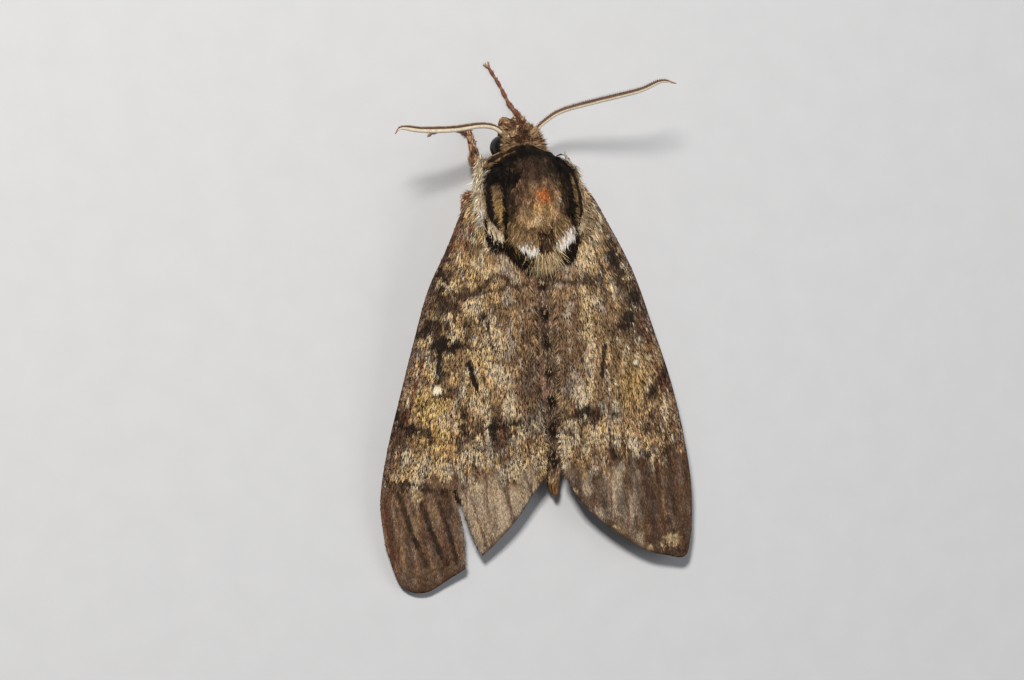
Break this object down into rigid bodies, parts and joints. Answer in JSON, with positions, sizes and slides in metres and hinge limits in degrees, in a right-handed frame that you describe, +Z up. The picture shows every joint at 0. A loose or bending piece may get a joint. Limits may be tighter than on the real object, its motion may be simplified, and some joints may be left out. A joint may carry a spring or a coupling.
{
  "type": "waved sphinx moth",
  "caption": "Life-size still model of a waved sphinx moth at rest, forewings folded back over the abdomen.",
  "frame": {"origin": "centre of the small flat under the abdomen, on the floor that the moth rests on", "axes": "+Y towards the head, +Z up through the back, +X to the moth's right side"},
  "size_m": [0.0377, 0.0594, 0.0132],
  "materials": {
    "body fur": "dense matt hair-scales",
    "forewing scales": "matt overlapping scales",
    "hindwing scales": "matt overlapping scales",
    "leg scales": "satin",
    "antenna": "satin",
    "compound eye": "glossy"
  },
  "bodies": {
    "root": {"abdomen": "body fur", "antenna_left": "antenna", "antenna_right": "antenna", "eye_left": "compound eye", "eye_right": "compound eye", "foreleg_left": "leg scales", "foreleg_right": "leg scales", "forewing_left": "forewing scales", "forewing_right": "forewing scales", "head": "body fur", "hindleg_left": "leg scales", "hindleg_right": "leg scales", "hindwing_left": "hindwing scales", "hindwing_right": "hindwing scales", "midleg_left": "leg scales", "midleg_right": "leg scales", "palp_left": "body fur", "palp_right": "body fur", "thorax": "body fur"}
  },
  "joints": []
}
